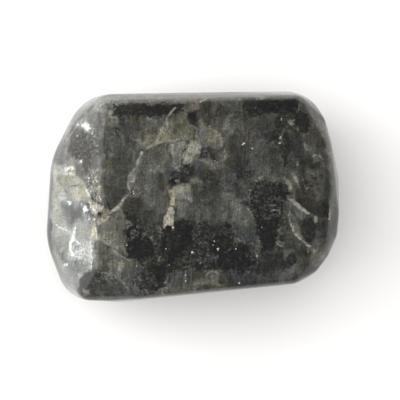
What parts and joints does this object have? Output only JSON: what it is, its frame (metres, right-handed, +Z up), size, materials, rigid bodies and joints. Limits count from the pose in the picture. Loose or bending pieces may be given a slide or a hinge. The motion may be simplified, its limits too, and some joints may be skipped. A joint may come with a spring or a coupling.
{
  "type": "tumbled larvikite stone",
  "caption": "Tumble-polished piece of dark larvikite rock: a worn rectangular block with a flat top, a broad sloping end, rounded edges and a flat to rest on.",
  "frame": {"origin": "on the resting flat, under the middle of the outline seen from above", "axes": "+X along the stone's length, towards its narrower end; +Y towards its long straight edge; +Z up, away from the resting flat"},
  "size_m": [0.0364, 0.0264, 0.017],
  "materials": {
    "polished_larvikite": "tumble-polished"
  },
  "bodies": {
    "root": {"stone": "polished_larvikite"}
  },
  "joints": []
}
